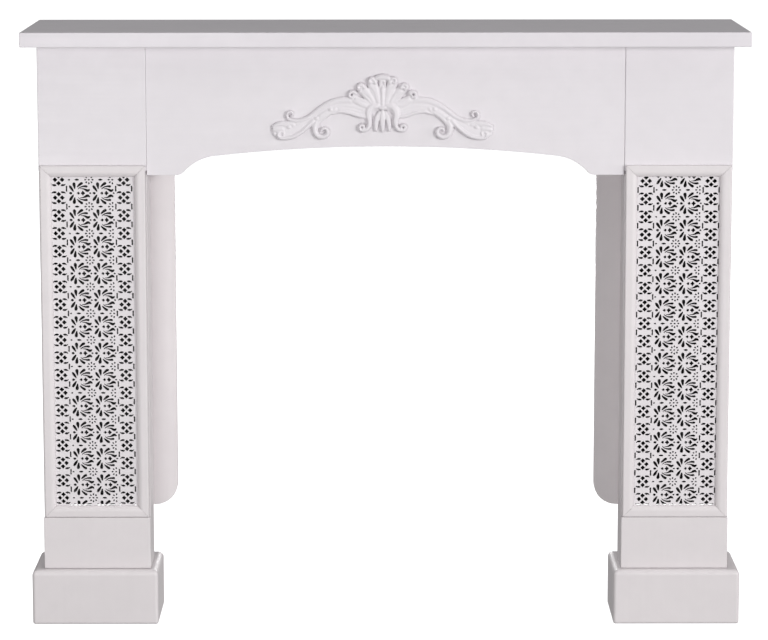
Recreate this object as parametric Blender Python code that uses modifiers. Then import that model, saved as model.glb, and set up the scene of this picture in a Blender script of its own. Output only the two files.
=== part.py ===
"""A white painted fireplace mantelpiece of boards, with fretwork legs and a carved shell onlay.

Metres, +Z up. X runs along the shelf, the front faces -Y, and the origin is on the floor under the
middle of the shelf. Depths are measured back from the shelf's front edge.
"""
import math

import bmesh
import bpy
from mathutils import Matrix, Vector

for leftover in list(bpy.data.objects):
    bpy.data.objects.remove(leftover, do_unlink=True)

# Clearance between touching pieces, and the arris that sanding and paint leave on a board's edges
GAP = 0.0003
ARRIS = 0.0012

# Overall height and the shelf
HEIGHT = 1.000
SHELF_WIDTH = 1.200
SHELF_DEPTH = 0.300
SHELF_THICKNESS = 0.0242

# Legs: hollow boxes of boards, whose frames stand back from the shelf's front edge
LEG_SPAN = 1.1516
LEG_WIDTH = 0.1793
LEG_SETBACK = 0.029
LEG_DEPTH = 0.080
CHEEK_THICKNESS = 0.015

# Plinths under the legs
PLINTH_HEIGHT = 0.0928
PLINTH_DEPTH = 0.141
PLINTH_PROUD = 0.0147
PLINTH_OUTER_MARGIN = 0.0199
PLINTH_INNER_MARGIN = 0.0129
PLINTH_TOP_ROUND = 0.009
PLINTH_SIDE_ROUND = 0.003

# Plain facings below and above the frame
BASE_FACING_HEIGHT = 0.0877
HEADER_FACING_THICKNESS = 0.016
HEADER_LAP = 0.010

# Mitred frame and the fretwork panel behind it
FRAME_HEIGHT = 0.596
FRAME_FACE = 0.019
FRAME_THICKNESS = 0.0075
FRAME_ROUND = 0.010
FRAME_ROUND_SWEEP = math.radians(64.0)
FRAME_ARRIS = 0.002
FRAME_INSET = 0.002
GRILLE_THICKNESS = 0.004
GRILLE_INSET = 0.003

# Boards that close the legs behind and stand out inwards
BACK_BOARD_THICKNESS = 0.012
BACK_BOARD_REACH = 0.0415
BACK_BOARD_CORNER = 0.038
BACK_BOARD_LIFT = 0.0918

# Arched apron, a hair behind the header facings: a flat lug at each leg, an ogee and a shallow arch, all tangent
APRON_STEP = 0.001
APRON_THICKNESS = 0.016
APRON_DROP = 0.2150
APRON_LUG = 0.050
OGEE_FOOT_RADIUS = 0.015
OGEE_SHOULDER_RADIUS = 0.084
OGEE_SLOPE = math.radians(48.0)
ARCH_SLOPE = math.radians(6.3)

# Fretwork: a file of quatrefoils along each stile, and two files of flowers between them
QUATREFOIL_PITCH = 0.0300
QUATREFOIL_RADIUS = 0.0088
QUATREFOIL_FILE = 0.0546
FLOWER_FILE = 0.0391
FLOWER_SHIFT = 0.0056
FLOWER_ROOT = 0.0135
FLOWER_HEART = (0.0030, 0.0036)
FRET_START_LEFT = 0.0045
FRET_START_RIGHT = -0.0229
FRET_LAP = 0.004

# Slits above a flower's axis, in degrees and metres about its root: start, end and width
PETALS = (
    (92.0, 0.0082, 92.0, 0.0172, 0.0042),
    (66.0, 0.0125, 54.0, 0.0220, 0.0032),
    (20.0, 0.0170, 13.0, 0.0252, 0.0040),
)

# Carved onlay, drawn in millimetres about the point where the shell's flutes meet
MM = 0.001
ONLAY_SHIFT = -0.005
ONLAY_DROP = 0.1064
ONLAY_SIZE = 1.0
ONLAY_RELIEF = 0.62
ONLAY_ROUNDNESS = 1
ONLAY_STATIONS = 2

# How a carved stroke rounds off past its end: reach and thinning, as shares of its half width there
STROKE_TIP = ((0.55, 0.80), (0.95, 0.30))

# What follows from the sizes above
CARRY_TOP = HEIGHT - SHELF_THICKNESS - GAP
LEG_OUTER = LEG_SPAN / 2
LEG_INNER = LEG_OUTER - LEG_WIDTH
LEG_FOOT = PLINTH_HEIGHT + GAP
FRAME_FOOT = LEG_FOOT + BASE_FACING_HEIGHT + GAP
FRAME_TOP = FRAME_FOOT + FRAME_HEIGHT
FACING_FOOT = FRAME_TOP - HEADER_LAP
GRILLE_DEPTH = LEG_SETBACK + FRAME_THICKNESS + GAP
CHEEK_FRONT = GRILLE_DEPTH + GRILLE_THICKNESS + GAP
CHEEK_NECK = GRILLE_DEPTH + HEADER_FACING_THICKNESS + GAP
CHEEK_BACK = LEG_SETBACK + LEG_DEPTH
APRON_FRONT = GRILLE_DEPTH + APRON_STEP
APRON_HALF = LEG_INNER - GAP
APRON_FOOT = CARRY_TOP - APRON_DROP
SIDES = (("left", -1), ("right", 1))


def make_collection(name):
    collection = bpy.data.collections.new(name)
    bpy.context.scene.collection.children.link(collection)
    return collection


def make_paint(name, colour, roughness):
    paint = bpy.data.materials.new(name)
    paint.use_nodes = True
    shader = paint.node_tree.nodes["Principled BSDF"]
    shader.inputs["Base Color"].default_value = (*colour, 1.0)
    shader.inputs["Roughness"].default_value = roughness
    shader.inputs["Metallic"].default_value = 0.0
    return paint


def behind_front(depth):
    """World Y of a plane at this depth behind the shelf's front edge."""
    return depth - SHELF_DEPTH / 2


def add_part(name, mesh, paint, collection):
    mesh.materials.append(paint)
    part = bpy.data.objects.new(name, mesh)
    collection.objects.link(part)
    return part


def soften(part, width, segments):
    """Round a board's sharp edges, and leave the short flats along its curves."""
    bevel = part.modifiers.new("Arris", "BEVEL")
    bevel.width = width
    bevel.segments = segments
    bevel.limit_method = "ANGLE"
    bevel.angle_limit = math.radians(40.0)


def box_mesh(name, size):
    work = bmesh.new()
    bmesh.ops.create_cube(work, size=1.0, matrix=Matrix.Diagonal((*size, 1.0)))
    mesh = bpy.data.meshes.new(name)
    work.to_mesh(mesh)
    work.free()
    return mesh


def add_board(name, x_range, depth_range, z_range, paint, collection, segments=1):
    """A square-edged board, placed by its ranges across, back and up."""
    y_range = [behind_front(depth) for depth in depth_range]
    low, high = (Vector(corner) for corner in zip(sorted(x_range), sorted(y_range), sorted(z_range)))
    board = add_part(name, box_mesh(name, high - low), paint, collection)
    board.location = (low + high) / 2
    soften(board, ARRIS, segments)
    return board


def mesh_from_curve(curve_object, name, merge):
    """The curve as a closed mesh in world space, its caps joined to its sides."""
    bpy.context.view_layer.update()
    mesh = bpy.data.meshes.new_from_object(curve_object.evaluated_get(bpy.context.evaluated_depsgraph_get()))
    mesh.name = name
    work = bmesh.new()
    work.from_mesh(mesh)
    bmesh.ops.remove_doubles(work, verts=work.verts, dist=merge)
    bmesh.ops.recalc_face_normals(work, faces=work.faces)
    work.to_mesh(mesh)
    work.free()
    mesh.transform(curve_object.matrix_world)
    mesh.materials.clear()
    bpy.data.objects.remove(curve_object, do_unlink=True)
    return mesh


def cut_board(name, loops, thickness, placing, paint, collection):
    """A board cut to an outline, its first loop, and pierced by its other loops."""
    curve = bpy.data.curves.new(name, "CURVE")
    curve.dimensions = "2D"
    curve.fill_mode = "BOTH"
    curve.extrude = thickness / 2
    for loop in loops:
        spline = curve.splines.new("POLY")
        spline.points.add(len(loop) - 1)
        spline.use_cyclic_u = True
        for point, (across, up) in zip(spline.points, loop):
            point.co = (across, up, 0.0, 1.0)
    outline = bpy.data.objects.new(name, curve)
    collection.objects.link(outline)
    outline.matrix_world = placing
    return add_part(name, mesh_from_curve(outline, name, merge=0.00001), paint, collection)


def facing_front(middle_depth):
    """Stands a flat outline up to face the front: its X stays across and its Y goes up."""
    return Matrix.Translation((0.0, behind_front(middle_depth), 0.0)) @ Matrix.Rotation(math.pi / 2, 4, "X")


def facing_side(middle_x):
    """Stands a flat outline up to face sideways: its X goes back from the shelf's front and its Y goes up."""
    turn = Matrix(((0, 0, 1, 0), (1, 0, 0, 0), (0, 1, 0, 0), (0, 0, 0, 1)))
    return Matrix.Translation((middle_x, behind_front(0.0), 0.0)) @ turn


def arc(centre, radius, start, end, steps):
    """Points along an arc, from one angle to another in radians."""
    angles = [start + (end - start) * step / steps for step in range(steps + 1)]
    return [(centre[0] + radius * math.cos(a), centre[1] + radius * math.sin(a)) for a in angles]


def add_shelf(paint, collection):
    half = SHELF_WIDTH / 2
    add_board("shelf", (-half, half), (0.0, SHELF_DEPTH), (HEIGHT - SHELF_THICKNESS, HEIGHT), paint, collection, 2)


def add_plinth(side, sign, paint, collection):
    """A block foot, well rounded along its top edges and a little down its corners."""
    inner, outer = LEG_INNER - PLINTH_INNER_MARGIN, LEG_OUTER + PLINTH_OUTER_MARGIN
    front = LEG_SETBACK - PLINTH_PROUD
    mesh = box_mesh(f"plinth_{side}", (outer - inner, PLINTH_DEPTH, PLINTH_HEIGHT))
    work = bmesh.new()
    work.from_mesh(mesh)
    weights = work.edges.layers.float.new("bevel_weight_edge")
    for edge in work.edges:
        heights = [vert.co.z for vert in edge.verts]
        upright = heights[0] * heights[1] < 0
        round_radius = PLINTH_SIDE_ROUND if upright else PLINTH_TOP_ROUND if heights[0] > 0 else ARRIS
        edge[weights] = round_radius / PLINTH_TOP_ROUND
    work.to_mesh(mesh)
    work.free()
    plinth = add_part(f"plinth_{side}", mesh, paint, collection)
    plinth.location = (sign * (inner + outer) / 2, behind_front(front + PLINTH_DEPTH / 2), PLINTH_HEIGHT / 2)
    bevel = plinth.modifiers.new("Rounding", "BEVEL")
    bevel.width = PLINTH_TOP_ROUND
    bevel.segments = 3
    bevel.limit_method = "WEIGHT"
    plinth.data.shade_smooth()
    plinth.data.set_sharp_from_angle(angle=math.radians(40.0))


def add_cheek(side, sign, place, inner_x, paint, collection):
    """A leg's side board, cut back at the top where the header facing stands on its edge."""
    outline = (
        (CHEEK_FRONT, LEG_FOOT),
        (CHEEK_BACK, LEG_FOOT),
        (CHEEK_BACK, CARRY_TOP),
        (CHEEK_NECK, CARRY_TOP),
        (CHEEK_NECK, FACING_FOOT - GAP),
        (CHEEK_FRONT, FACING_FOOT - GAP),
    )
    middle = sign * (inner_x + CHEEK_THICKNESS / 2)
    name = f"cheek_{place}_{side}"
    cheek = cut_board(name, [outline], CHEEK_THICKNESS, facing_side(middle), paint, collection)
    soften(cheek, ARRIS, 1)


def add_back_board(side, sign, paint, collection):
    """The board behind a leg, whose lower inner corner is a quarter round."""
    inner, outer = LEG_INNER - BACK_BOARD_REACH, LEG_OUTER
    foot = LEG_FOOT + BACK_BOARD_LIFT
    corner = arc((inner + BACK_BOARD_CORNER, foot + BACK_BOARD_CORNER), BACK_BOARD_CORNER, math.pi, 1.5 * math.pi, 8)
    outline = corner + [(outer, foot), (outer, CARRY_TOP), (inner, CARRY_TOP)]
    outline = [(sign * across, up) for across, up in outline]
    middle = CHEEK_BACK + GAP + BACK_BOARD_THICKNESS / 2
    board = cut_board(
        f"back_board_{side}", [outline], BACK_BOARD_THICKNESS, facing_front(middle), paint, collection
    )
    soften(board, ARRIS, 1)


def add_facings(side, sign, paint, collection):
    """The plain boards on a leg's front, below and above its frame."""
    across = (sign * LEG_INNER, sign * LEG_OUTER)
    base_depths = (LEG_SETBACK, CHEEK_FRONT - GAP)
    base_heights = (LEG_FOOT, FRAME_FOOT - GAP)
    header_depths = (GRILLE_DEPTH, CHEEK_NECK - GAP)
    add_board(f"base_facing_{side}", across, base_depths, base_heights, paint, collection, 2)
    add_board(f"header_facing_{side}", across, header_depths, (FACING_FOOT, CARRY_TOP), paint, collection, 2)


def frame_section():
    """A frame member's section as (depth, edge), from its rounded inner edge over its face to its outer arris."""
    front, half = -FRAME_THICKNESS / 2, FRAME_FACE / 2
    round_centre = (front + FRAME_ROUND, FRAME_ROUND * math.sin(FRAME_ROUND_SWEEP) - half)
    inner_round = arc(round_centre, FRAME_ROUND, math.pi + FRAME_ROUND_SWEEP, math.pi, 5)
    outer_round = arc((front + FRAME_ARRIS, half - FRAME_ARRIS), FRAME_ARRIS, math.pi, math.pi / 2, 2)
    return [(-front, -half), *inner_round, *outer_round, (-front, half)]


def add_frame_member(name, length, placing, paint, collection):
    """A rounded strip mitred at both ends: its length runs along X and its rounded edge faces -Z."""
    mitre_gap = GAP * math.sqrt(0.5)
    work = bmesh.new()
    ends = []
    for end in (-1, 1):
        ring = []
        for depth, edge in frame_section():
            reach = length / 2 - mitre_gap - (FRAME_FACE / 2 - edge)
            ring.append(work.verts.new((end * reach, depth, edge)))
        work.faces.new(ring)
        ends.append(ring)
    near, far = ends
    for corner in range(len(near)):
        work.faces.new((near[corner - 1], near[corner], far[corner], far[corner - 1]))
    bmesh.ops.recalc_face_normals(work, faces=work.faces)
    mesh = bpy.data.meshes.new(name)
    work.to_mesh(mesh)
    work.free()
    member = add_part(name, mesh, paint, collection)
    member.matrix_world = placing


def add_frame(side, sign, paint, collection):
    """Four mitred members round the fretwork, stood on the base facing."""
    width = LEG_WIDTH - 2 * FRAME_INSET
    centre_x, centre_z = sign * (LEG_INNER + LEG_WIDTH / 2), FRAME_FOOT + FRAME_HEIGHT / 2
    middle = Matrix.Translation((centre_x, behind_front(LEG_SETBACK + FRAME_THICKNESS / 2), centre_z))
    members = (
        ("top", width, FRAME_HEIGHT, 0.0),
        ("bottom", width, FRAME_HEIGHT, math.pi),
        ("outer", FRAME_HEIGHT, width, sign * math.pi / 2),
        ("inner", FRAME_HEIGHT, width, -sign * math.pi / 2),
    )
    for place, length, span, turn in members:
        outwards = Matrix.Translation((0.0, 0.0, (span - FRAME_FACE) / 2))
        placing = middle @ Matrix.Rotation(turn, 4, "Y") @ outwards
        add_frame_member(f"frame_{place}_{side}", length, placing, paint, collection)


def diamond(centre, half_width, half_height):
    x, z = centre
    return [(x - half_width, z), (x, z - half_height), (x + half_width, z), (x, z + half_height)]


def petal_slit(root, petal, flip):
    """A slit pointed at its start and wide at its end, above the flower's axis or mirrored below it."""
    start_angle, start_radius, end_angle, end_radius, width = petal
    start, end = (
        Vector((radius * math.cos(math.radians(angle)), flip * radius * math.sin(math.radians(angle))))
        for angle, radius in ((start_angle, start_radius), (end_angle, end_radius))
    )
    side = (end - start).orthogonal().normalized() * width / 2
    return [tuple(Vector(root) + point) for point in (start, end - side, end + side)]


def fretwork(side):
    """The openings of one panel, about the leg's centre line, whole pattern rows from the frame's top down."""
    top = FRAME_TOP - FRAME_FACE
    foot = FRAME_FOOT + FRAME_FACE
    half_width = LEG_WIDTH / 2 - FRAME_INSET - FRAME_FACE
    start = top - (FRET_START_LEFT if side == "left" else FRET_START_RIGHT)
    flower_pitch = 1.5 * QUATREFOIL_PITCH
    holes = []
    for row in range(-1, math.ceil((start - foot) / QUATREFOIL_PITCH) + 1):
        for file_x in (-QUATREFOIL_FILE, QUATREFOIL_FILE):
            centre = (file_x, start - row * QUATREFOIL_PITCH)
            holes.append(diamond(centre, QUATREFOIL_RADIUS, QUATREFOIL_RADIUS))
    for row in range(-1, math.ceil((start - foot) / flower_pitch) + 1):
        for file_x in (-FLOWER_FILE / 2, FLOWER_FILE / 2):
            heart = (file_x + FLOWER_SHIFT, start - (row + 0.5) * flower_pitch)
            root = (heart[0] - FLOWER_ROOT, heart[1])
            holes.append(diamond(heart, *FLOWER_HEART))
            holes += [petal_slit(root, petal, flip) for petal in PETALS for flip in (1, -1)]
    return [
        hole for hole in holes
        if all(abs(x) < half_width + FRET_LAP and foot - FRET_LAP < z < top + FRET_LAP for x, z in hole)
    ]


def add_grille(side, sign, paint, collection):
    """The pierced panel between the frame and the cheeks' front edges."""
    centre_x = sign * (LEG_INNER + LEG_WIDTH / 2)
    half = LEG_WIDTH / 2 - GRILLE_INSET
    top = FACING_FOOT - GAP
    outline = [(-half, FRAME_FOOT), (half, FRAME_FOOT), (half, top), (-half, top)]
    placing = Matrix.Translation((centre_x, 0.0, 0.0)) @ facing_front(GRILLE_DEPTH + GRILLE_THICKNESS / 2)
    cut_board(f"grille_{side}", [outline, *fretwork(side)], GRILLE_THICKNESS, placing, paint, collection)


def apron_outline():
    """Half of the apron's lower edge by tangent arcs from the lug to the middle, then mirrored."""
    foot_x = APRON_HALF - APRON_LUG
    foot_centre = (foot_x, APRON_FOOT + OGEE_FOOT_RADIUS)
    foot = arc(foot_centre, OGEE_FOOT_RADIUS, -math.pi / 2, -math.pi / 2 - OGEE_SLOPE, 3)
    lean = Vector((math.sin(OGEE_SLOPE), math.cos(OGEE_SLOPE)))
    shoulder_centre = Vector(foot[-1]) - lean * OGEE_SHOULDER_RADIUS
    shoulder = arc(shoulder_centre, OGEE_SHOULDER_RADIUS, math.pi / 2 - OGEE_SLOPE, math.pi / 2 - ARCH_SLOPE, 8)
    arch_radius = shoulder[-1][0] / math.sin(ARCH_SLOPE)
    arch_centre = (0.0, shoulder[-1][1] - arch_radius * math.cos(ARCH_SLOPE))
    arch = arc(arch_centre, arch_radius, math.pi / 2 - ARCH_SLOPE, math.pi / 2, 8)
    right = [(APRON_HALF, CARRY_TOP), (APRON_HALF, APRON_FOOT), *foot, *shoulder[1:], *arch[1:]]
    return right + [(-across, up) for across, up in reversed(right[:-1])]


def add_apron(paint, collection):
    placing = facing_front(APRON_FRONT + APRON_THICKNESS / 2)
    apron = cut_board("apron", [apron_outline()], APRON_THICKNESS, placing, paint, collection)
    soften(apron, ARRIS, 1)


def curl(centre, radius, end_radius, start, sweep, half_width, steps=5):
    """A stroke that closes in round a centre, thinning as it goes; angles in degrees."""
    stroke = []
    for step in range(steps + 1):
        share = step / steps
        angle = math.radians(start + sweep * share)
        reach = radius + (end_radius - radius) * share
        across, up = centre[0] + reach * math.cos(angle), centre[1] + reach * math.sin(angle)
        stroke.append((across, up, half_width * (1 - 0.3 * share)))
    return stroke


def smooth_stroke(stroke):
    """More stations along a stroke, by a curve through the given ones."""
    ends = [stroke[0], *stroke, stroke[-1]]
    stations = []
    for before, start, end, after in zip(ends, ends[1:], ends[2:], ends[3:]):
        for step in range(ONLAY_STATIONS):
            t = step / ONLAY_STATIONS
            stations.append(tuple(
                b + 0.5 * t * (c - a + t * (2 * a - 5 * b + 4 * c - d + t * (3 * (b - c) + d - a)))
                for a, b, c, d in zip(before, start, end, after)
            ))
    return [*stations, stroke[-1]]


def round_tip(stations):
    """The stroke with its far end rounded off."""
    (from_x, from_z, _), (end_x, end_z, half_width) = stations[-2:]
    ahead = Vector((end_x - from_x, end_z - from_z)).normalized() * half_width
    tip = [(end_x + ahead.x * reach, end_z + ahead.y * reach, half_width * share) for reach, share in STROKE_TIP]
    return [*stations, *tip]


def onlay_strokes():
    """Carved strokes as (across, up, half width) in millimetres: the middle ones, then the right-hand ones."""
    middle = [
        [(0, -2, 3.5), (0, 26, 5.5), (0, 52, 8.5)],
        [(0, -4, 4.0), (0, -20, 4.5), (0, -34, 2.5)],
    ]
    lobes = [
        [(2, -1, 3.5), (8, 24, 5.5), (17.5, 47, 8.5)],
        [(4, -2, 3.5), (18, 17, 6.0), (35, 37.5, 8.5)],
        [(6, -4, 4.0), (28, 8, 6.5), (48.5, 23, 9.5)],
    ]
    shell_foot = [(6, 2, 5.0), (17, -5, 6.0), (17.5, -19, 5.5), (23, -31, 6.0), *curl((33, -27), 7.0, 4.0, -90, 170, 5.5)]
    calyx = [(4, -4, 3.5), (8, -18, 4.0), (10, -33, 3.0)]
    crest = [
        (18, 2, 6.0), (50, 12, 8.0), (76, 12, 7.5), (98, 2, 5.5), (119, -10, 4.5), (138, -17, 4.0),
        *curl((153, -9), 8.0, 4.5, -100, 290, 3.5),
    ]
    end_leaf = [(88, -3, 6.0), (108, -14, 7.0), (128, -28, 9.0), (147, -38, 9.5), (163, -41, 8.0), (177, -34, 4.5)]
    leaf_tip = [(158, -32, 5.0), (172, -30, 4.5), (181, -25, 2.5)]
    branch = [
        (20, -6, 6.5), (50, -2, 7.5), (72, -3, 7.0), (92, -9, 6.0), (105, -19, 5.0),
        *curl((97, -38), 11.0, 6.0, 30, -270, 4.5),
    ]
    return middle, [*lobes, shell_foot, calyx, crest, end_leaf, leaf_tip, branch]


def add_stroke(name, stroke, sign, collection):
    """A tapered rod along a stroke, flattened to low relief, half sunk in the onlay's back plane."""
    curve = bpy.data.curves.new(name, "CURVE")
    curve.dimensions = "3D"
    curve.bevel_depth = MM
    curve.bevel_resolution = ONLAY_ROUNDNESS
    curve.use_fill_caps = True
    stations = round_tip(smooth_stroke(stroke))
    spline = curve.splines.new("POLY")
    spline.points.add(len(stations) - 1)
    for point, (across, up, half_width) in zip(spline.points, stations):
        point.co = (sign * across * MM, 0.0, up * MM, 1.0)
        point.radius = half_width
    rod = bpy.data.objects.new(name, curve)
    collection.objects.link(rod)
    place = Vector((ONLAY_SHIFT, behind_front(APRON_FRONT - GAP), CARRY_TOP - ONLAY_DROP))
    flatten = Matrix.Diagonal((ONLAY_SIZE, ONLAY_SIZE * ONLAY_RELIEF, ONLAY_SIZE, 1.0))
    rod.matrix_world = Matrix.Translation(place) @ flatten
    mesh = mesh_from_curve(rod, name, merge=0.00001)
    stroke_object = bpy.data.objects.new(name, mesh)
    collection.objects.link(stroke_object)
    return stroke_object


def hide_as_tool(tool):
    tool.hide_render = True
    tool.display_type = "WIRE"


def add_onlay(paint, collection, tools):
    """The carved shell with its scrolls: every stroke joined, then planed flat at the back."""
    middle, right = onlay_strokes()
    strokes_used = make_collection("onlay_strokes")
    body, *others = [add_stroke(f"stroke_middle_{n}", stroke, 1, strokes_used) for n, stroke in enumerate(middle)]
    for side, sign in SIDES:
        others += [add_stroke(f"stroke_{side}_{n}", stroke, sign, strokes_used) for n, stroke in enumerate(right)]
    strokes_used.objects.unlink(body)
    body.name = "onlay"
    body.data.materials.append(paint)
    collection.objects.link(body)
    for stroke in others:
        hide_as_tool(stroke)
    joined = body.modifiers.new("Join strokes", "BOOLEAN")
    joined.operation = "UNION"
    joined.operand_type = "COLLECTION"
    joined.collection = strokes_used
    plane_depth = APRON_FRONT - GAP + APRON_THICKNESS / 2
    size = (SHELF_WIDTH, APRON_THICKNESS, HEIGHT / 2)
    plane = bpy.data.objects.new("onlay_back_plane", box_mesh("onlay_back_plane", size))
    plane.location = (ONLAY_SHIFT, behind_front(plane_depth), CARRY_TOP - ONLAY_DROP)
    tools.objects.link(plane)
    hide_as_tool(plane)
    planed = body.modifiers.new("Plane the back", "BOOLEAN")
    planed.operation = "DIFFERENCE"
    planed.object = plane


mantelpiece = make_collection("mantelpiece")
cutters = make_collection("cutters")
shelf_paint = make_paint("shelf_paint", (0.80, 0.79, 0.80), 0.45)
header_paint = make_paint("header_paint", (0.82, 0.81, 0.81), 0.50)
leg_paint = make_paint("leg_paint", (0.78, 0.76, 0.76), 0.50)
grille_paint = make_paint("grille_paint", (0.84, 0.83, 0.83), 0.55)
carving_paint = make_paint("carving_paint", (0.82, 0.81, 0.81), 0.55)

add_shelf(shelf_paint, mantelpiece)
add_apron(header_paint, mantelpiece)
add_onlay(carving_paint, mantelpiece, cutters)
for leg_side, leg_sign in SIDES:
    add_plinth(leg_side, leg_sign, leg_paint, mantelpiece)
    add_cheek(leg_side, leg_sign, "inner", LEG_INNER, leg_paint, mantelpiece)
    add_cheek(leg_side, leg_sign, "outer", LEG_OUTER - CHEEK_THICKNESS, leg_paint, mantelpiece)
    add_back_board(leg_side, leg_sign, leg_paint, mantelpiece)
    add_facings(leg_side, leg_sign, header_paint, mantelpiece)
    add_frame(leg_side, leg_sign, leg_paint, mantelpiece)
    add_grille(leg_side, leg_sign, grille_paint, mantelpiece)
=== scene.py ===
"""A white painted mantelpiece of boards, with fretwork legs and a carved shell over its arch.

Metres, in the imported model's frame: +X along the shelf, the front faces -Y, +Z up.
"""
import math

import bmesh
import bpy
import numpy as np
from mathutils import Matrix, Vector


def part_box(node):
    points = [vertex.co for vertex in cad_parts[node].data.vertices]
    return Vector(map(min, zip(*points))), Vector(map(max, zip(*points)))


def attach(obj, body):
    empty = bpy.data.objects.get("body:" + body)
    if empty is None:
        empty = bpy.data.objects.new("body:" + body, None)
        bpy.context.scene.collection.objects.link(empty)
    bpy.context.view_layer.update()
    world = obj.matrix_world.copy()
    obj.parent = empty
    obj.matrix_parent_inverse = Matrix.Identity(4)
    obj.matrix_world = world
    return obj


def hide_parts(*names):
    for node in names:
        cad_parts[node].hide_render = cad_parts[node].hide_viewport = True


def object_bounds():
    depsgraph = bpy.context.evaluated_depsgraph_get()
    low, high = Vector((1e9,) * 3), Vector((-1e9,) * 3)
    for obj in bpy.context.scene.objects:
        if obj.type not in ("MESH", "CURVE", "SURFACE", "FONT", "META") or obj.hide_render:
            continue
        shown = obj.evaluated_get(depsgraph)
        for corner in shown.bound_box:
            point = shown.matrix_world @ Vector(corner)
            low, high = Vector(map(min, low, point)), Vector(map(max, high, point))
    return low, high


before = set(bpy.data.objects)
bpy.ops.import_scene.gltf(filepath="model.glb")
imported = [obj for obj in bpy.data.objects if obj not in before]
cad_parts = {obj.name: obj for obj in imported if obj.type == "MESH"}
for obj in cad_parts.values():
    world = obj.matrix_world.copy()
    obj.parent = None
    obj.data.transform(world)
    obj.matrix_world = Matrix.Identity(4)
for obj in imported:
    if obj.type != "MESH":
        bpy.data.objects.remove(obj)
cad_low, cad_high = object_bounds()

# The shelf
# One long square-edged board, laid over the legs and the apron. Its satin white paint was rolled on and
# tipped off along its length. Every other piece is painted in the same way, so the paint is made here.
SHELF_WHITE = (0.805, 0.768, 0.802)
SHELF_GREY = (0.725, 0.690, 0.725)
SHELF_ROUGHNESS = 0.42
ALONG = "X"
UP = "Z"
GRAIN_SCALE = 6.0
CROSS_SCALE = 150.0
CLOUD_SCALE = 4.5
MOTTLE_SCALE = 38.0
STIPPLE_SCALE = 520.0
CLOUD_SHARE = 0.42
MOTTLE_SHARE = 0.30
STREAK_SHARE = 0.12
# How far the painted shade in creases reaches, and how dark it gets
CREASE_SHADE_REACH = 0.007
CREASE_SHADE_DARKNESS = 0.45
BRUSH_STRENGTH = 0.35
BRUSH_DEPTH = 0.00012


def add_node(tree, kind, inputs=(), **settings):
    """A shader node with its settings, and with values or other nodes' outputs on its inputs."""
    node = tree.nodes.new(kind)
    for name, value in settings.items():
        setattr(node, name, value)
    for socket, value in inputs:
        if isinstance(value, bpy.types.NodeSocket):
            tree.links.new(value, node.inputs[socket])
        else:
            node.inputs[socket].default_value = value
    return node


def add_mix(tree, share, first, second):
    """The colour between two others. Sockets 6 and 7 are a mix node's colours, and 2 is its colour output."""
    node = add_node(tree, "ShaderNodeMix", data_type="RGBA")
    for socket, value in ((0, share), (6, first), (7, second)):
        if isinstance(value, bpy.types.NodeSocket):
            tree.links.new(value, node.inputs[socket])
        else:
            node.inputs[socket].default_value = value if socket == 0 else (*value, 1.0)
    return node.outputs[2]


def spread(tree, value, low, high, to_low=0.0, to_high=1.0):
    """A value's range from low to high, stretched over another range."""
    inputs = ((0, value), (1, low), (2, high), (3, to_low), (4, to_high))
    return add_node(tree, "ShaderNodeMapRange", inputs).outputs[0]


def add_noise(tree, place, scale, detail):
    """Soft blotches, finer with a larger scale."""
    inputs = (("Vector", place), ("Scale", scale), ("Detail", detail))
    return add_node(tree, "ShaderNodeTexNoise", inputs).outputs[0]


def white_paint(name, fresh, settled, grain, roughness, crease_shade=0.0):
    """Brushed white paint: cloudy in tone, faintly streaked along the board, and with painted shade in its
    creases.
    """
    paint = bpy.data.materials.new(name)
    paint.use_nodes = True
    tree = paint.node_tree
    shader = tree.nodes["Principled BSDF"]
    place = add_node(tree, "ShaderNodeTexCoord").outputs["Object"]
    if grain == ALONG:
        stretch = (GRAIN_SCALE, CROSS_SCALE, CROSS_SCALE)
    else:
        stretch = (CROSS_SCALE, CROSS_SCALE, GRAIN_SCALE)
    along_grain = add_node(tree, "ShaderNodeMapping", (("Vector", place), ("Scale", stretch))).outputs[0]
    clouds = add_noise(tree, place, CLOUD_SCALE, 3.0)
    mottle = add_noise(tree, place, MOTTLE_SCALE, 4.0)
    streaks = add_noise(tree, along_grain, 1.0, 2.0)
    stipple = add_noise(tree, place, STIPPLE_SCALE, 1.0)
    # Each noise, where it starts and where it is full, and the most that it brings of the settled colour
    tones = (
        (clouds, 0.38, 0.66, CLOUD_SHARE),
        (mottle, 0.40, 0.70, MOTTLE_SHARE),
        (streaks, 0.35, 0.65, STREAK_SHARE),
    )
    colour = fresh
    for noise, low, high, most in tones:
        colour = add_mix(tree, spread(tree, noise, low, high, 0.0, most), colour, settled)
    # Painted shade: ambient occlusion darkens the colour in creases and corners, where shade falls
    if crease_shade:
        crease_occlusion = add_node(tree, "ShaderNodeAmbientOcclusion", (("Distance", CREASE_SHADE_REACH),), samples=6)
        crease_shading = spread(tree, crease_occlusion.outputs["AO"], 0.35, 0.95, crease_shade, 0.0)
        colour = add_mix(tree, crease_shading, colour, tuple(CREASE_SHADE_DARKNESS * part for part in settled))
    tree.links.new(colour, shader.inputs["Base Color"])
    dulled = spread(tree, streaks, 0.3, 0.7, roughness - 0.06, roughness + 0.08)
    tree.links.new(dulled, shader.inputs["Roughness"])
    brush_marks = add_node(tree, "ShaderNodeMath", ((0, streaks), (1, stipple)), operation="ADD").outputs[0]
    brushed = (("Strength", BRUSH_STRENGTH), ("Distance", BRUSH_DEPTH), ("Height", brush_marks))
    bump = add_node(tree, "ShaderNodeBump", brushed)
    tree.links.new(bump.outputs[0], shader.inputs["Normal"])
    return paint


def finish_node(node, paint):
    """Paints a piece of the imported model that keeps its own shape."""
    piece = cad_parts[node]
    piece.data.materials.clear()
    piece.data.materials.append(paint)


shelf_paint = white_paint("shelf_paint", SHELF_WHITE, SHELF_GREY, ALONG, SHELF_ROUGHNESS)
finish_node("shelf", shelf_paint)

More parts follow.
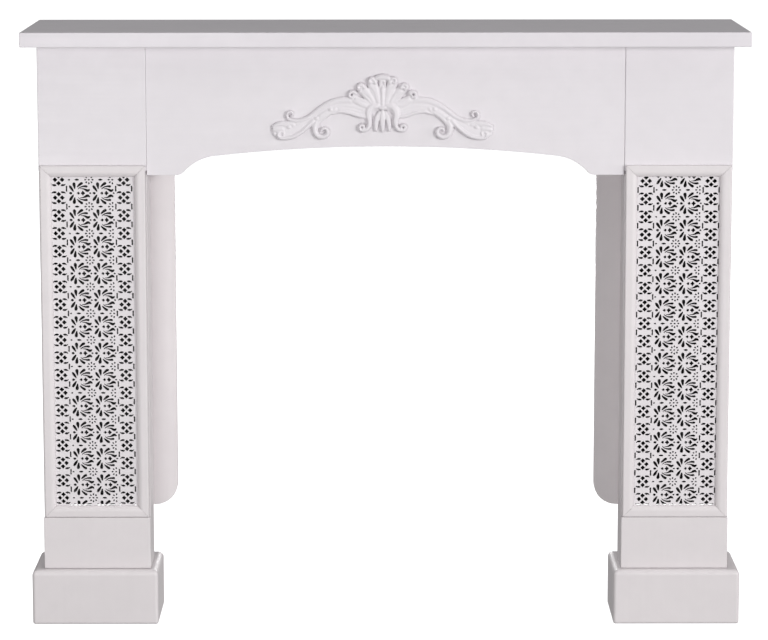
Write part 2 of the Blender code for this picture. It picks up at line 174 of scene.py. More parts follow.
# The apron and the header facings
# The arched board under the shelf and the plain boards at its ends, a millimetre proud of it on the legs.
# They are butted together, so a fine open joint shows beside each facing.
HEADER_WHITE = (0.818, 0.782, 0.812)
HEADER_GREY = (0.748, 0.714, 0.742)
HEADER_ROUGHNESS = 0.46
header_paint = white_paint("header_paint", HEADER_WHITE, HEADER_GREY, ALONG, HEADER_ROUGHNESS)
for node in ("apron", "header_facing_left", "header_facing_right"):
    finish_node(node, header_paint)

# The legs' boards and mitred frames
# Each leg is a hollow box of board: two cheeks, a wider board behind them, and in front a base facing and
# a thin mitred frame, rounded over towards the fretwork. The faces inside the hollow are darkened with
# painted shade.
LEG_WHITE = (0.792, 0.748, 0.758)
LEG_GREY = (0.722, 0.678, 0.690)
# Painted shade inside the hollows: near black on the back boards, and lighter on the cheeks for the light
# that falls on them through the fretwork
HOLLOW_SHADE = (0.014, 0.013, 0.013)
LIT_CHEEK_SHADE = (0.07, 0.065, 0.065)
SKIN = 0.0005
LEG_ROUGHNESS = 0.46
# How much painted shade the creases of the frames, base facings and plinths get
LEG_CREASE_SHADE = 0.25
leg_paint = white_paint("leg_paint", LEG_WHITE, LEG_GREY, UP, LEG_ROUGHNESS, LEG_CREASE_SHADE)


def paint_hollow_shade(paint, shade):
    """Paints shade on the faces inside both legs' hollows, between the cheeks and from grille to back board.
    """
    tree = paint.node_tree
    shader = tree.nodes["Principled BSDF"]
    place = add_node(tree, "ShaderNodeTexCoord").outputs["Object"]
    axes = add_node(tree, "ShaderNodeSeparateXYZ", ((0, place),))
    across = add_node(tree, "ShaderNodeMath", ((0, axes.outputs["X"]),), operation="ABSOLUTE").outputs[0]
    limits = (
        (across, "GREATER_THAN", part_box("cheek_inner_right")[1].x - SKIN),
        (across, "LESS_THAN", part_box("cheek_outer_right")[0].x + SKIN),
        (axes.outputs["Y"], "GREATER_THAN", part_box("grille_right")[1].y - SKIN),
        (axes.outputs["Y"], "LESS_THAN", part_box("back_board_right")[0].y + SKIN),
    )
    inside = 1.0
    for value, test, limit in limits:
        passed = add_node(tree, "ShaderNodeMath", ((0, value), (1, limit)), operation=test).outputs[0]
        inside = add_node(tree, "ShaderNodeMath", ((0, passed), (1, inside)), operation="MULTIPLY").outputs[0]
    outside_colour = shader.inputs["Base Color"].links[0].from_socket
    tree.links.new(add_mix(tree, inside, outside_colour, shade), shader.inputs["Base Color"])


back_paint = white_paint("back_paint", LEG_WHITE, LEG_GREY, UP, LEG_ROUGHNESS)
cheek_paint = white_paint("cheek_paint", LEG_WHITE, LEG_GREY, UP, LEG_ROUGHNESS)
# The back boards' hollow faces get near-black painted shade, and the cheeks a lighter painted shade, as if
# lit through the fretwork
paint_hollow_shade(back_paint, HOLLOW_SHADE)
paint_hollow_shade(cheek_paint, LIT_CHEEK_SHADE)
for side in ("left", "right"):
    for place in ("top", "bottom", "outer", "inner"):
        finish_node(f"frame_{place}_{side}", leg_paint)
    finish_node(f"base_facing_{side}", leg_paint)
    finish_node(f"back_board_{side}", back_paint)
    finish_node(f"cheek_inner_{side}", cheek_paint)
    finish_node(f"cheek_outer_{side}", cheek_paint)

# The plinths
# A solid block under each leg, which stands on it. Its top edges are run round with a wide cutter, and its
# corners and its foot are rounded less.
TOP_ROUND = 0.009
CORNER_ROUND = 0.0055
FOOT_ROUND = 0.0035
ROUND_SEGMENTS = 8


def add_plinth(side):
    """One block with its edges rounded, in place of the plain plinth."""
    low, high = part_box(f"plinth_{side}")
    mesh = bpy.data.meshes.new(f"plinth_block_{side}")
    work = bmesh.new()
    bmesh.ops.create_cube(work, size=1.0, matrix=Matrix.Diagonal((*(high - low), 1.0)))
    weights = work.edges.layers.float.new("bevel_weight_edge")
    for edge in work.edges:
        first, second = (vert.co.z for vert in edge.verts)
        if first * second < 0:
            radius = CORNER_ROUND
        elif first > 0:
            radius = TOP_ROUND
        else:
            radius = FOOT_ROUND
        edge[weights] = radius / TOP_ROUND
    work.to_mesh(mesh)
    work.free()
    mesh.transform(Matrix.Translation((low + high) / 2))
    mesh.shade_smooth()
    plinth = bpy.data.objects.new(f"plinth_block_{side}", mesh)
    bpy.context.scene.collection.objects.link(plinth)
    rounding = plinth.modifiers.new("Rounding", "BEVEL")
    rounding.width = TOP_ROUND
    rounding.segments = ROUND_SEGMENTS
    rounding.limit_method = "WEIGHT"
    rounding.harden_normals = True
    mesh.materials.append(leg_paint)
    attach(plinth, "root")
    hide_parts(f"plinth_{side}")


for side in ("left", "right"):
    add_plinth(side)

# The fretwork panels
# Thin board sawn right through in one repeating pattern: quatrefoils and open brackets down each edge,
# and two files of flowers with stars between them. Both panels were cut from one long sheet, so the
# pattern runs the same way on each and starts at another place.
MM = 0.001
QUATREFOIL_PITCH = 30.0 * MM
FLOWER_PITCH = 1.5 * QUATREFOIL_PITCH
QUATREFOIL_FILE = 54.0 * MM
FLOWER_FILES = (-13.3 * MM, 25.7 * MM)
STAR_FILES = (-42.6 * MM, -3.6 * MM, 35.4 * MM)
FLOWER_BAND = 39.7 * MM
LENS_SHIFT = -10.2 * MM
# How far a row of quatrefoils stands above the top of each frame's opening, and how far the pattern is
# shifted to the right
FRET_START = {"left": -5.0 * MM, "right": 22.2 * MM}
FRET_SHIFT = {"left": -2.8 * MM, "right": 0.3 * MM}
PANEL_MARGIN = 2.0 * MM
SPARE_ROWS = 3

# One flower about its heart in millimetres, heading right: each cut is its stations of (across, up, half
# width). Those of FLOWER_PAIRS are sawn above and below its middle line.
FLOWER_MIDDLE = (
    ((-2.2, 0.0, 1.75), (-0.5, 0.0, 4.35), (1.3, 0.0, 1.85)),
    ((-9.4, 0.0, 1.15), (-8.2, 0.0, 2.65)),
    ((-21.3, 0.0, 2.05), (-20.7, 0.0, 2.55), (-20.1, 0.0, 2.05)),
    ((11.3, 0.0, 1.5), (11.9, 0.0, 1.5)),
)
FLOWER_PAIRS = (
    (
        (-4.5, 7.4, 0.6), (-1.0, 7.4, 0.95), (2.0, 6.6, 1.45), (4.4, 5.4, 2.05), (6.9, 4.2, 2.45),
        (8.8, 4.7, 2.05), (10.2, 5.8, 1.35),
    ),
    ((-8.2, 7.0, 0.6), (-6.0, 9.0, 0.95), (-2.5, 10.7, 1.15), (1.7, 11.5, 1.65), (5.6, 11.3, 2.05)),
    ((-9.6, 10.6, 1.05), (-7.4, 12.8, 1.75), (-4.6, 15.2, 2.2), (-2.4, 16.5, 2.35)),
    ((-14.0, 7.6, 1.05), (-14.4, 10.6, 1.95), (-14.8, 13.9, 2.7), (-15.0, 15.6, 2.75)),
    ((-16.3, 3.2, 1.05), (-17.6, 5.1, 1.75), (-19.3, 7.7, 2.25), (-21.0, 10.2, 2.3), (-21.8, 11.4, 1.85)),
)
QUATREFOIL_REACH = 5.9
QUATREFOIL_HALF = 4.2
BRACKET = (
    ((-11.3, -7.7, 0.6), (-9.6, -6.3, 1.3), (-7.0, -5.9, 1.95), (-4.9, -5.8, 1.5)),
    ((4.9, -5.8, 1.5), (7.0, -5.9, 1.95), (9.6, -6.3, 1.3), (11.3, -7.7, 0.6)),
    ((-11.3, 7.7, 0.6), (-9.6, 6.3, 1.3), (-7.0, 5.9, 1.95), (-4.9, 5.8, 1.5)),
    ((4.9, 5.8, 1.5), (7.0, 5.9, 1.95), (9.6, 6.3, 1.3), (11.3, 7.7, 0.6)),
    ((-13.2, -3.8, 1.35), (-13.2, 0.0, 1.15), (-13.2, 3.8, 1.35)),
    ((13.2, -3.8, 1.35), (13.2, 0.0, 1.15), (13.2, 3.8, 1.35)),
)
STAR_RAYS = 8
STAR_RAY = ((5.2, 0.0, 1.1), (6.4, 0.0, 1.5))
STAR_DOT = ((-0.3, 0.0, 1.45), (0.3, 0.0, 1.45))
LENS = ((-2.6, 0.0, 1.1), (0.0, 0.0, 1.9), (2.6, 0.0, 1.1))
CUT_STEPS = 2
DIAGONAL = 0.7071
WELD = 0.00001


def along_curve(stations, steps):
    """More stations on a smooth curve through the given ones."""
    ends = [stations[0], *stations, stations[-1]]
    curve = []
    for before, start, end, after in zip(ends, ends[1:], ends[2:], ends[3:]):
        for step in range(steps):
            t = step / steps
            curve.append(tuple(
                b + 0.5 * t * (c - a + t * (2 * a - 5 * b + 4 * c - d + t * (3 * (b - c) + d - a)))
                for a, b, c, d in zip(before, start, end, after)
            ))
    return [*curve, stations[-1]]


def saw_cut(stations):
    """The outline of one cut round its stations, with a rounded end at each."""
    curve = along_curve(stations, CUT_STEPS) if len(stations) > 2 else list(stations)
    left, right = [], []
    for before, station, after in zip([curve[0], *curve], curve, [*curve[1:], curve[-1]]):
        heading = Vector((after[0] - before[0], after[1] - before[1])).normalized()
        side = Vector((-heading.y, heading.x)) * station[2]
        middle = Vector(station[:2])
        left.append(middle + side)
        right.append(middle - side)
    ends = []
    for tip, inner in ((curve[-1], curve[-2]), (curve[0], curve[1])):
        heading = Vector((tip[0] - inner[0], tip[1] - inner[1])).normalized() * tip[2]
        side = Vector((-heading.y, heading.x))
        middle = Vector(tip[:2])
        ends.append([
            middle + (heading + side) * DIAGONAL,
            middle + heading,
            middle + (heading - side) * DIAGONAL,
        ])
    return [*left, *ends[0], *reversed(right), *ends[1]]


def turned(outline, angle):
    """An outline turned about its own middle."""
    turn = Matrix.Rotation(angle, 2)
    return [turn @ point for point in outline]


def mirrored(stations):
    """A cut's stations on the other side of the flower's middle line."""
    return tuple((across, -up, half) for across, up, half in stations)


def pattern_pieces():
    """One quatrefoil, bracket, flower, star and lens: outlines in millimetres about their own middles."""
    corner = QUATREFOIL_HALF
    diamond = [Vector(point) for point in ((-corner, 0.0), (0.0, -corner), (corner, 0.0), (0.0, corner))]
    reaches = [Vector((QUATREFOIL_REACH, 0.0)), Vector((0.0, QUATREFOIL_REACH))]
    quatrefoil = [[point + sign * reach for point in diamond] for reach in reaches for sign in (-1, 1)]
    bracket = [saw_cut(cut) for cut in BRACKET]
    flower = [saw_cut(cut) for cut in FLOWER_MIDDLE]
    flower += [saw_cut(cut) for pair in FLOWER_PAIRS for cut in (pair, mirrored(pair))]
    star = [turned(saw_cut(STAR_RAY), ray * math.tau / STAR_RAYS) for ray in range(STAR_RAYS)]
    star.append(saw_cut(STAR_DOT))
    return quatrefoil, bracket, flower, star, [saw_cut(LENS)]


def panel_cuts(side, low, high, opening_low, opening_high):
    """Every cut of one panel in its own plane, as outlines of points across and up."""
    quatrefoil, bracket, flower, star, lens = pattern_pieces()
    middle = (low.x + high.x) / 2 + FRET_SHIFT[side]
    start = opening_high.z + FRET_START[side]
    rows = math.ceil((opening_high.z - opening_low.z) / QUATREFOIL_PITCH) + SPARE_ROWS
    placed = []
    for row in range(-1, rows):
        edge_row = start - row * QUATREFOIL_PITCH
        star_row = start - row * FLOWER_PITCH
        flower_row = star_row - FLOWER_PITCH / 2
        for sign in (-1, 1):
            placed.append((quatrefoil, sign * QUATREFOIL_FILE, edge_row, False))
            placed.append((bracket, sign * QUATREFOIL_FILE, edge_row - QUATREFOIL_PITCH / 2, False))
        for file_x in FLOWER_FILES:
            placed.append((flower, file_x, flower_row, True))
            placed.append((lens, file_x + LENS_SHIFT, star_row, True))
        for file_x in STAR_FILES:
            placed.append((star, file_x, star_row, True))
    cuts = []
    for outlines, across, up, in_band in placed:
        for outline in outlines:
            points = [(across + point.x * MM, up + point.y * MM) for point in outline]
            xs, zs = zip(*points)
            shows = max(zs) > opening_low.z and min(zs) < opening_high.z
            on_panel = min(zs) > low.z + PANEL_MARGIN and max(zs) < high.z - PANEL_MARGIN
            if shows and on_panel and (not in_band or max(map(abs, xs)) < FLOWER_BAND):
                cuts.append([(middle + x, z) for x, z in points])
    return cuts


def add_fret_panel(side):
    """One sheet with every cut sawn through, in place of a leg's plain panel."""
    low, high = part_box(f"grille_{side}")
    opening_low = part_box(f"frame_bottom_{side}")[1]
    opening_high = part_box(f"frame_top_{side}")[0]
    edge = [(low.x, low.z), (high.x, low.z), (high.x, high.z), (low.x, high.z)]
    curve = bpy.data.curves.new(f"fret_panel_{side}", "CURVE")
    curve.dimensions = "2D"
    curve.fill_mode = "BOTH"
    curve.extrude = (high.y - low.y) / 2
    for outline in [edge, *panel_cuts(side, low, high, opening_low, opening_high)]:
        spline = curve.splines.new("POLY")
        spline.points.add(len(outline) - 1)
        spline.use_cyclic_u = True
        for point, (across, up) in zip(spline.points, outline):
            point.co = (across, up, 0.0, 1.0)
    sheet = bpy.data.objects.new("fret_outline", curve)
    bpy.context.scene.collection.objects.link(sheet)
    bpy.context.view_layer.update()
    sawn = sheet.evaluated_get(bpy.context.evaluated_depsgraph_get())
    mesh = bpy.data.meshes.new_from_object(sawn)
    bpy.data.objects.remove(sheet, do_unlink=True)
    upright = Matrix.Rotation(math.pi / 2, 4, "X")
    mesh.transform(Matrix.Translation((0.0, (low.y + high.y) / 2, 0.0)) @ upright)
    work = bmesh.new()
    work.from_mesh(mesh)
    bmesh.ops.remove_doubles(work, verts=work.verts, dist=WELD)
    bmesh.ops.recalc_face_normals(work, faces=work.faces)
    work.to_mesh(mesh)
    work.free()
    panel = bpy.data.objects.new(f"fret_panel_{side}", mesh)
    bpy.context.scene.collection.objects.link(panel)
    mesh.materials.clear()
    mesh.materials.append(fret_paint)
    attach(panel, "root")
    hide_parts(f"grille_{side}")


FRET_WHITE = (0.822, 0.784, 0.804)
FRET_GREY = (0.750, 0.714, 0.734)
FRET_ROUGHNESS = 0.50
fret_paint = white_paint("fret_paint", FRET_WHITE, FRET_GREY, UP, FRET_ROUGHNESS)
for side in ("left", "right"):
    add_fret_panel(side)

# The carved shell and its scrolls
# A low carving glued to the middle of the apron: a fan of lobes whose tips roll over, a calyx below it,
# and on each side a broad leaf that throws off volutes and ends in a curled tip. Its paint has
# softened every edge. It is worked as one relief over a fine grid, stroke over stroke, in millimetres.
GRID = 0.65
STROKE_STEPS = 5
CARVING_EDGE = 1.3
CARVING_LOW = (-188.0, -55.0)
CARVING_HIGH = (188.0, 65.0)
PAINT_SOFTENING = 1.15
SHELL_CROWN = 60.3 * MM
carving_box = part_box("onlay")
CARVING_MIDDLE = (carving_box[0].x + carving_box[1].x) / 2
CARVING_FOOT = carving_box[1].z - SHELL_CROWN
CARVING_ROUGHNESS = 0.50
# How much painted shade the carving's creases get
CARVING_CREASE_SHADE = 0.05
carving_paint = white_paint(
    "carving_paint", HEADER_WHITE, HEADER_GREY, ALONG, CARVING_ROUGHNESS, CARVING_CREASE_SHADE
)

grid_x = np.arange(CARVING_LOW[0], CARVING_HIGH[0] + GRID, GRID)
grid_z = np.arange(CARVING_LOW[1], CARVING_HIGH[1] + GRID, GRID)
across_grid, up_grid = np.meshgrid(np.abs(grid_x), grid_z, indexing="ij")
relief = np.zeros_like(across_grid)
FAR_OUT = -1000.0
inside = np.full_like(across_grid, FAR_OUT)

# How far a hollow reaches across its stroke, how far an undercut reaches beside it, how much of a covered
# stroke may still stand, and how steep a groove's walls are
HOLLOW_REACH = 0.72
UNDERCUT_REACH = 0.9
COVERED_SHARE = 0.55
GROOVE_WALL = 1.3

# A volute's stations, and how it thins and rises towards its eye
RING_STEPS = 12
RING_THINNING = 0.45
RING_RISE = 0.1


def near_stroke(stations):
    """How deep each grid point is inside a stroke, how far out as a share of its half width, and its height.

    Each station is (across, up, half width, height).
    """
    curve = np.array(along_curve(stations, STROKE_STEPS))
    depth = np.full_like(across_grid, FAR_OUT)
    share = np.full_like(across_grid, 10.0)
    height = np.zeros_like(across_grid)
    for start, end in zip(curve[:-1], curve[1:]):
        run = end[:2] - start[:2]
        length_squared = max(float(run @ run), 1e-9)
        t = ((across_grid - start[0]) * run[0] + (up_grid - start[1]) * run[1]) / length_squared
        t = np.clip(t, 0.0, 1.0)
        distance = np.hypot(across_grid - start[0] - t * run[0], up_grid - start[1] - t * run[1])
        half_width = start[2] + t * (end[2] - start[2])
        deeper = half_width - distance > depth
        depth = np.where(deeper, half_width - distance, depth)
        share = np.where(deeper, distance / half_width, share)
        height = np.where(deeper, start[3] + t * (end[3] - start[3]), height)
    return depth, share, height


def carve(stations, hollow=0.0, undercut=0.8, fullness=2.4):
    """Lays a stroke over what is carved already: rounded, or hollowed between raised rims."""
    global relief, inside
    depth, share, height = near_stroke(stations)
    crown = np.sqrt(np.clip(1.0 - np.clip(share, 0.0, 1.0) ** fullness, 0.0, 1.0))
    dish = 1.0 - hollow * np.clip(1.0 - (share / HOLLOW_REACH) ** 2, 0.0, 1.0)
    beside = np.exp(-(np.clip(-depth, 0.0, None) / UNDERCUT_REACH) ** 2)
    lowered = np.maximum(relief - undercut * beside, np.minimum(relief, CARVING_EDGE))
    shaped = np.maximum(height * crown * dish, np.minimum(lowered, COVERED_SHARE * height))
    relief = np.where(depth > 0.0, shaped, lowered)
    inside = np.maximum(inside, depth)


def groove(stations, deep):
    """Cuts a line into what is carved, as deep as given and as wide as its stations."""
    global relief
    share = near_stroke([(*station, 1.0) for station in stations])[1]
    relief = relief - deep * np.exp(-(np.clip(share, 0.0, 4.0) * GROOVE_WALL) ** 2)


def ring(centre, radius, end_radius, start, sweep, half_width, height):
    """Stations of a volute that closes in round its eye; angles in degrees."""
    stations = []
    for step in range(RING_STEPS + 1):
        share = step / RING_STEPS
        angle = math.radians(start + sweep * share)
        reach = radius + (end_radius - radius) * share
        across = centre[0] + reach * math.cos(angle)
        up = centre[1] + reach * math.sin(angle)
        thinned = half_width * (1 - RING_THINNING * share)
        raised = height * (1 + RING_RISE * share)
        stations.append((across, up, thinned, raised))
    return stations


# The broad leaf on each side, from behind the shell to its curled tip, then its flow lines
carve([
    (20, 0, 7, 3.0), (34, 3.5, 11, 3.6), (52, 7, 12.5, 4.2), (74, 7.5, 11.5, 4.2), (92, 2, 10, 4.2),
    (106, -8, 8.5, 4.2), (120, -18, 8.5, 4.4), (134, -27, 11, 4.8), (150, -33, 14, 5.0),
    (164, -36, 12.5, 5.0), (175, -37, 7.5, 4.2),
], hollow=0.32)
for flow in (
    [
        (30, 6, 1.2), (52, 12, 1.4), (74, 11.5, 1.4), (92, 6, 1.3), (108, -5, 1.2), (124, -17, 1.2),
        (142, -26, 1.0),
    ],
    [
        (34, -1, 1.2), (54, 4, 1.4), (72, 4, 1.4), (88, -1, 1.2), (104, -12, 1.2), (122, -24, 1.3),
        (142, -36, 1.2), (160, -42, 1.0),
    ],
    [(46, -3.5, 0.9), (60, -1, 1.1), (76, -1, 1.0), (86, -4, 0.9)],
):
    groove(flow, 0.9)
# The leaf's lower rim and the volute that it throws off
carve([
    (24, -11, 3.6, 4.2), (38, -9.5, 3.6, 5.0), (54, -4.5, 3.4, 5.2), (70, -2, 3.4, 5.2), (82, -4.5, 3.8, 5.2),
])
carve([
    (78, 1, 4.0, 4.4), (93, -6, 6.5, 4.8), (105, -15, 7.4, 5.2), (111, -25, 6.2, 5.4), (111.5, -35, 5.4, 5.8),
    (107.5, -42, 4.9, 6.0), (100, -44.5, 4.5, 6.2), (93, -42, 4.3, 6.4), (90.5, -35.5, 3.8, 6.4),
    (94, -30.5, 3.2, 6.2), (99.5, -30.5, 2.7, 6.0), (101.5, -34.5, 2.2, 5.6),
])
groove([(88, -3.5, 1.0), (100, -11, 1.4), (107.5, -22, 1.5), (108, -33, 1.2), (104, -39.5, 0.8)], 1.1)
# The upper rim, drawn out to the upper volute
carve([
    (24, 8, 5.6, 3.6), (42, 15.0, 6.4, 4.0), (58, 16.5, 6.0, 4.0), (76, 15.0, 5.6, 4.0), (92, 9.0, 5.2, 4.2),
    (106, 0, 4.6, 4.4), (119, -10, 4.2, 4.8), (132, -16, 3.8, 5.0), (144, -17.5, 3.2, 5.2),
    *ring((151.8, -7.5), 7.6, 2.6, -75, 330, 3.1, 5.6),
], undercut=0.5, fullness=1.8)
# The end leaf's lower edge, its curl and its tip
carve([
    (114, -16, 3.6, 5.0), (122, -25, 3.8, 5.6), (134, -36, 4.0, 6.0), (148, -44, 4.0, 6.2),
    (162, -46.5, 3.6, 6.2),
    *ring((167, -39.5), 7.0, 2.4, -70, 300, 3.2, 6.2),
])
carve([
    (148, -24, 5.0, 4.4), (162, -23, 5.4, 4.8), (172, -23.5, 4.6, 5.0), (181, -27, 2.8, 4.8),
], undercut=0.4)
carve([(166, -31, 4.8, 4.8), (174, -31.5, 4.8, 5.0), (179.5, -32.5, 4.2, 4.8)], undercut=0.3)
# Small eyes where the leaves part
for across, up, radius in ((108.5, -13.5, 4.2), (86, 1, 3.6), (155, -27.5, 3.8)):
    carve([(across - 0.5, up, radius, 5.8), (across + 0.5, up, radius, 5.8)])
    groove([(across - 0.3, up - 0.6, 0.9), (across + 0.3, up - 0.6, 0.9)], 1.6)
# The shell's lobes, from the outermost in, with their flutes and rolled tips
for lobe in (
    [(10, 3, 4.0, 3.6), (24, 8, 6.4, 4.2), (36, 13.5, 7.6, 4.6), (45, 18, 7.0, 4.6)],
    [(8, 4, 3.8, 3.8), (18, 17, 6.6, 4.4), (28, 29, 8.2, 4.8), (34, 36, 8.4, 4.8)],
    [(4.5, 4, 3.2, 4.0), (9, 22, 6.2, 4.6), (14.5, 38, 8.2, 5.0), (17, 45, 8.4, 5.0)],
):
    carve(lobe, hollow=0.12, undercut=0.5)
carve([(0, 2, 2.8, 4.2), (0, 22, 4.4, 4.8), (0, 40, 5.6, 5.2), (0, 50, 6.6, 5.2)], undercut=0.5)
for flute in (
    [(13, 5.5, 0.7), (26, 11, 1.0), (38, 16, 0.9)],
    [(16, 10, 0.7), (22.4, 20.6, 1.0), (33, 28.3, 0.9)],
    [(10.5, 12, 0.7), (15.4, 30, 1.0), (20.5, 36, 0.9)],
    [(3.4, 13.5, 0.7), (3.4, 25, 0.9), (3.6, 37, 0.9)],
):
    groove(flute, 1.5)
carve(ring((50.5, 25), 6.6, 2.0, 150, -320, 3.7, 6.8), undercut=0.9)
carve(ring((36.8, 37.5), 6.2, 2.0, 175, -310, 3.9, 7.0), undercut=0.9)
carve(ring((18.2, 48), 6.5, 2.2, 200, -320, 3.9, 7.0), undercut=0.9)
carve([(0, 55.3, 5.4, 6.8), (5, 54.8, 5.0, 6.8), (10, 53.0, 4.2, 6.6)], undercut=0.4)
for across, up in ((46.5, 20.0), (33.2, 33.5), (16.6, 44.5)):
    groove([(across, up, 1.5), (across + 1.4, up - 2.0, 1.1)], 2.6)
groove([(0.4, 46.0, 1.2), (2.4, 38.0, 1.2)], 6.0)
# The stems that cross in front of the shell's foot, their volutes, and the calyx between them
carve([
    (7, 7, 4.0, 5.0), (16, 6, 5.6, 5.6), (22, 0, 6.2, 6.0), (23, -9, 5.6, 6.2), (21.5, -17.5, 4.6, 6.4),
    (22, -25.5, 4.2, 6.6), (25.5, -31.5, 3.9, 6.8), *ring((33.2, -28), 6.2, 2.0, -120, 330, 3.8, 6.8),
], undercut=1.1)
groove([(15, 5, 0.9), (22, -1, 1.2), (22.5, -11, 1.2), (21, -20, 1.0), (23, -29, 0.8)], 0.9)
carve([
    (5, -3, 2.4, 4.6), (9, -13, 4.2, 5.4), (10.8, -24, 4.0, 5.8), (11, -33, 2.8, 6.0),
], hollow=0.2, undercut=1.0)
carve([
    (0, 0, 2.6, 5.0), (0, -12, 4.6, 6.0), (0, -25, 4.4, 6.4), (0, -34, 3.0, 6.6),
], hollow=0.15, undercut=1.0)
carve([(0, 4, 4.2, 6.2), (4, 4, 3.4, 6.0)], undercut=1.0)
for vein in ([(0, -6, 0.8), (0, -18, 0.9), (0, -30, 0.6)], [(7, -8, 0.7), (10, -20, 0.8), (11, -29, 0.6)]):
    groove(vein, 1.2)


# As shares of the grid: how far outside the strokes a point may lie, and how far it moves to the outline
OUTLINE_SLACK = 0.3
SNAP_REACH = 0.7
LEAST_SLOPE = 0.25
CELL_CORNERS = ((0, 0), (1, 0), (1, 1), (0, 1))
SHARP_ANGLE = math.radians(60.0)


def softened(field, width):
    """A field blurred over a width in millimetres, as paint fills and rounds."""
    reach = math.ceil(3 * width / GRID)
    steps = np.arange(-reach, reach + 1) * GRID
    weights = np.exp(-(steps / width) ** 2 / 2)
    weights /= weights.sum()
    for axis in (0, 1):
        field = np.apply_along_axis(lambda line: np.convolve(line, weights, mode="same"), axis, field)
    return field


def add_carving():
    """The relief as one closed solid: the cells inside its outline, walls round them, and a flat back."""
    surface = CARVING_EDGE + softened(np.clip(relief, 0.0, None), PAINT_SOFTENING)
    held = inside > -OUTLINE_SLACK * GRID
    cells = held[:-1, :-1] & held[1:, :-1] & held[:-1, 1:] & held[1:, 1:]
    # Where two cells would meet at a corner alone, a third joins them
    for _ in range(3):
        corner = cells[:-1, :-1] & cells[1:, 1:] & ~cells[1:, :-1] & ~cells[:-1, 1:]
        cells[1:, :-1] |= corner
        corner = ~cells[:-1, :-1] & ~cells[1:, 1:] & cells[1:, :-1] & cells[:-1, 1:]
        cells[:-1, :-1] |= corner
    columns, rows = np.nonzero(cells)
    numbers = np.full(held.shape, -1)
    for shift_x, shift_z in CELL_CORNERS:
        numbers[columns + shift_x, rows + shift_z] = 0
    used_x, used_z = np.nonzero(numbers == 0)
    numbers[used_x, used_z] = np.arange(len(used_x))
    # The points beside the outline move onto it
    slope_x, slope_z = np.gradient(inside, GRID)
    steep = np.maximum(slope_x ** 2 + slope_z ** 2, LEAST_SLOPE)
    step = np.where(np.abs(inside) < SNAP_REACH * GRID, inside, 0.0) / steep
    across = (grid_x[used_x] - (step * slope_x)[used_x, used_z]) * MM + CARVING_MIDDLE
    up = (grid_z[used_z] - (step * slope_z)[used_x, used_z]) * MM + CARVING_FOOT
    back = carving_box[1].y
    out = back - surface[used_x, used_z] * MM
    verts = np.column_stack((across, out, up))
    faces = np.column_stack([
        numbers[columns + shift_x, rows + shift_z] for shift_x, shift_z in CELL_CORNERS
    ])
    mesh = bpy.data.meshes.new("shell_carving")
    mesh.from_pydata(verts.tolist(), [], faces.tolist())
    work = bmesh.new()
    work.from_mesh(mesh)
    rim = [edge for edge in work.edges if edge.is_boundary]
    feet = {}
    for edge in rim:
        for vert in edge.verts:
            if vert not in feet:
                feet[vert] = work.verts.new((vert.co.x, back, vert.co.z))
    for edge in rim:
        first, second = edge.verts
        work.faces.new((second, first, feet[first], feet[second]))
    rim = [edge for edge in work.edges if edge.is_boundary]
    bmesh.ops.triangle_fill(work, use_beauty=True, edges=rim)
    bmesh.ops.recalc_face_normals(work, faces=work.faces)
    work.to_mesh(mesh)
    work.free()
    mesh.shade_smooth()
    mesh.set_sharp_from_angle(angle=SHARP_ANGLE)
    carving = bpy.data.objects.new("shell_carving", mesh)
    bpy.context.scene.collection.objects.link(carving)
    mesh.materials.append(carving_paint)
    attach(carving, "root")
    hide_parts("onlay")


add_carving()

# The studio
# A plain white floor that runs out of sight, two soft lamps to the right, a near one to the left, and
# faint ones above and behind. The camera stands where the photograph was taken from, a little above
# the shelf.
CAMERA_PLACE = (-0.0022, -5.15, 1.3814)
CAMERA_PITCH = 0.1449
CAMERA_ROLL = 0.0007
CAMERA_SHIFT = -0.10
FAR_LIMIT = 200.0
SENSOR_WIDTH = 36.0
FOCAL_LENGTH = 143.36
FLOOR_HALF = 40.0
FLOOR_DROP = 0.0005
FLOOR_GREY = 0.8
FLOOR_ROUGHNESS = 0.9
FLOOR_GLOW = 0.95
SURROUND_GLOW = 0.275
LAMP_AIM = Vector((0.0, 0.0, 0.5))

# Each lamp's name, azimuth and elevation in degrees, distance and size in metres, and watts
LAMPS = (
    ("key_lamp", 38.0, 11.0, 5.0, 1.1, 107.0),
    ("right_lamp", 68.0, 6.0, 5.0, 1.5, 36.0),
    ("low_lamp", -20.0, 2.0, 2.2, 0.8, 12.0),
    ("top_lamp", -20.0, 65.0, 4.0, 2.0, 18.0),
    ("back_lamp", 180.0, 0.0, 4.0, 0.9, 34.0),
)


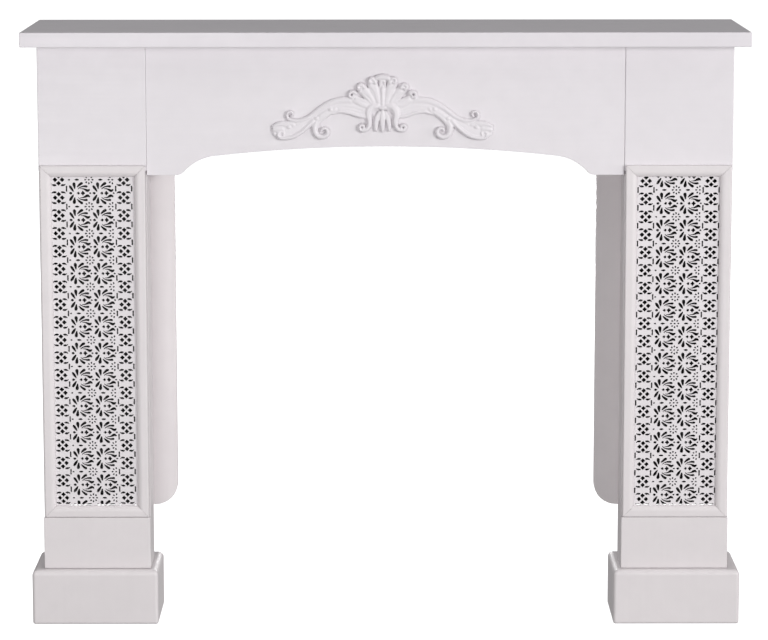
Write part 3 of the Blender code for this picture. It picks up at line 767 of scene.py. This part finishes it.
def add_floor():
    """A wide white floor just under the plinths, which neither lights them nor shows in their gloss."""
    work = bmesh.new()
    bmesh.ops.create_grid(work, x_segments=1, y_segments=1, size=FLOOR_HALF)
    mesh = bpy.data.meshes.new("floor")
    work.to_mesh(mesh)
    work.free()
    floor = bpy.data.objects.new("floor", mesh)
    bpy.context.scene.collection.objects.link(floor)
    floor.location.z = cad_low.z - FLOOR_DROP
    white = bpy.data.materials.new("floor_white")
    white.use_nodes = True
    shader = white.node_tree.nodes["Principled BSDF"]
    shader.inputs["Base Color"].default_value = (FLOOR_GREY, FLOOR_GREY, FLOOR_GREY, 1.0)
    shader.inputs["Roughness"].default_value = FLOOR_ROUGHNESS
    shader.inputs["Emission Color"].default_value = (1.0, 1.0, 1.0, 1.0)
    shader.inputs["Emission Strength"].default_value = FLOOR_GLOW
    mesh.materials.append(white)
    floor.visible_diffuse = False
    floor.visible_glossy = False


def add_lamp(name, azimuth, elevation, distance, size, power):
    """A square soft lamp aimed at the mantelpiece. Azimuth 0 is straight in front, and right is positive."""
    turn = math.radians(azimuth)
    lift = math.radians(elevation)
    level = math.cos(lift)
    reach = Vector((math.sin(turn) * level, -math.cos(turn) * level, math.sin(lift))) * distance
    light = bpy.data.lights.new(name, "AREA")
    light.shape = "SQUARE"
    light.size = size
    light.energy = power
    lamp = bpy.data.objects.new(name, light)
    bpy.context.scene.collection.objects.link(lamp)
    lamp.location = LAMP_AIM + reach
    lamp.rotation_euler = (-reach).to_track_quat("-Z", "Y").to_euler()
    lamp.visible_camera = False


add_floor()
for lamp_values in LAMPS:
    add_lamp(*lamp_values)
world = bpy.data.worlds.new("studio")
world.use_nodes = True
surround = world.node_tree.nodes["Background"]
surround.inputs["Color"].default_value = (1.0, 1.0, 1.0, 1.0)
surround.inputs["Strength"].default_value = SURROUND_GLOW
bpy.context.scene.world = world

camera = bpy.data.objects.new("camera", bpy.data.cameras.new("camera"))
bpy.context.scene.collection.objects.link(camera)
camera.location = CAMERA_PLACE
camera.rotation_euler = (math.pi / 2 - CAMERA_PITCH, CAMERA_ROLL, 0.0)
camera.data.sensor_width = SENSOR_WIDTH
camera.data.lens = FOCAL_LENGTH
camera.data.shift_y = CAMERA_SHIFT
camera.data.clip_end = FAR_LIMIT
bpy.context.scene.camera = camera
bpy.context.scene.view_settings.view_transform = "Standard"
